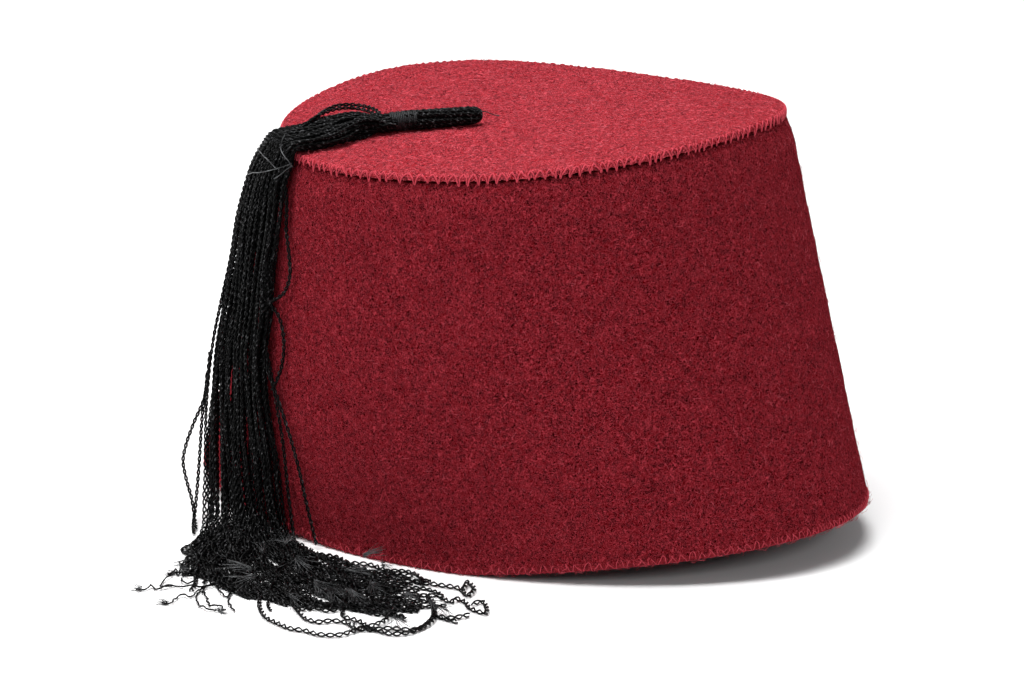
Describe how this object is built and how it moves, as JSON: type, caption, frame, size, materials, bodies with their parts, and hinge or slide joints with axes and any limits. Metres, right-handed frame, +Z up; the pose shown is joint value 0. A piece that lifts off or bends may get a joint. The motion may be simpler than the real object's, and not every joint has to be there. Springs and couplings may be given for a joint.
{
  "type": "fez hat",
  "caption": "Stiff felt fez with an oval open rim, a flat round top sewn on, and a cord tassel laid over the top and down one side to the surface.",
  "frame": {"origin": "middle of the head opening, level with the surface that the hat rests on", "axes": "+Z up through the crown, -Y towards the wearer's front, +X towards the wearer's left"},
  "size_m": [0.1924, 0.216, 0.1233],
  "materials": {
    "side_felt": "thick wool felt, deep red, matt, slightly fuzzy",
    "top_felt": "thick wool felt, deep red, matt, slightly fuzzy",
    "tassel_cord": "black twisted rayon cord with a soft gloss",
    "binding_thread": "black sewing thread, wound, with a dull gloss"
  },
  "bodies": {
    "root": {"side_wall": "side_felt", "top_disc": "top_felt", "tassel": "tassel_cord", "tassel_binding": "binding_thread"}
  },
  "joints": []
}
